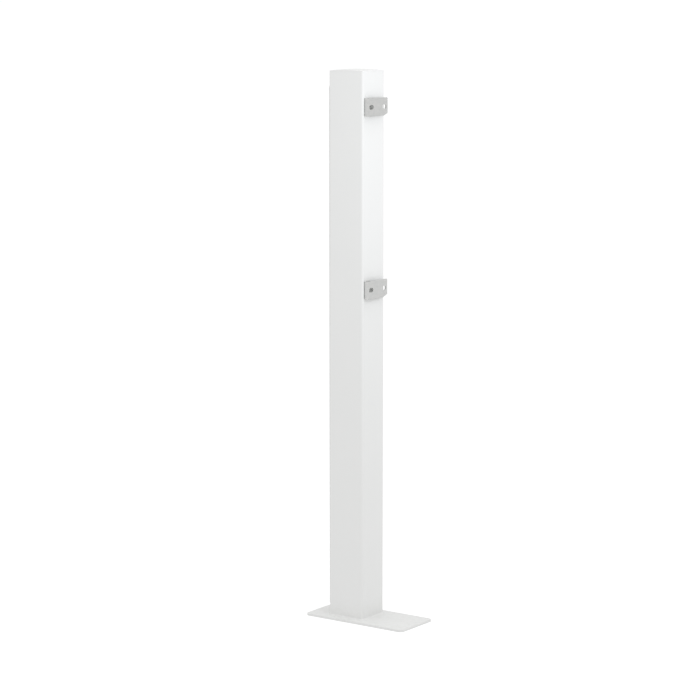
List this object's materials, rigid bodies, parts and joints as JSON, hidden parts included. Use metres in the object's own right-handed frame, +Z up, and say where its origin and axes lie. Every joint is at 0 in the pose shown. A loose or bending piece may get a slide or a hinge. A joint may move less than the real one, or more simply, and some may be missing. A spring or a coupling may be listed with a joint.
{
  "type": "ev charging post",
  "caption": "Slim floor-standing post of rectangular box section on a long base plate, with brackets on its front face for a wall charger and a hollow core for the cables.",
  "frame": {"origin": "centre of the base plate's underside, on the floor", "axes": "+Z up along the post; -Y is the front with the charger brackets; +X is the side with the cable outlet"},
  "size_m": [0.142, 0.3, 1.4],
  "materials": {
    "powder_coat_white": "semi-gloss powder coat, faint orange peel",
    "galvanised_steel": "matt hot-dip zinc",
    "stainless_steel": "plain rolled",
    "zinc_plated_steel": "bright zinc plate",
    "spring_steel": "plain rolled",
    "black_rubber": "matt moulded",
    "white_nylon": "moulded",
    "black_nylon": "moulded, fine grain",
    "brass": "turned"
  },
  "bodies": {
    "post": {"base_plate": "powder_coat_white", "post_front": "powder_coat_white", "post_left_side": "powder_coat_white", "post_right_side": "powder_coat_white", "post_left_stile": "powder_coat_white", "post_right_stile": "powder_coat_white", "post_foot_rail": "powder_coat_white", "post_head_rail": "powder_coat_white", "foot_weld": "powder_coat_white", "cable_clamp_bar": "powder_coat_white", "upper_bracket": "galvanised_steel", "lower_bracket": "galvanised_steel", "upper_bracket_studs": "stainless_steel", "upper_bracket_washers": "stainless_steel", "upper_bracket_nuts": "stainless_steel", "lower_bracket_studs": "stainless_steel", "lower_bracket_washers": "stainless_steel", "lower_bracket_nuts": "stainless_steel", "cable_clamp_screws": "stainless_steel", "cable_clamp_nuts": "stainless_steel", "service_cover_rivet_nuts": "zinc_plated_steel", "upper_bracket_pad": "black_rubber", "lower_bracket_pad": "black_rubber", "cable_entry_grommet": "black_rubber", "cable_outlet_grommet": "black_rubber", "cable_clamp_saddle": "black_nylon", "earth_stud": "brass", "earth_washers": "brass", "earth_nuts": "brass"},
    "cap": {"top_cap": "powder_coat_white", "top_cap_seal": "black_rubber", "top_cap_clips": "spring_steel"},
    "cover": {"service_cover": "powder_coat_white", "service_cover_seal": "black_rubber", "service_cover_screws": "stainless_steel", "service_cover_washers": "white_nylon"}
  },
  "joints": [
    {"name": "cap_lift", "type": "slide", "parent": "post", "child": "cap", "axis": [0, 0, 1], "range_m": [0, 0.04]},
    {"name": "cover_pull", "type": "slide", "parent": "post", "child": "cover", "axis": [0, 1, 0], "range_m": [0, 0.06]}
  ]
}
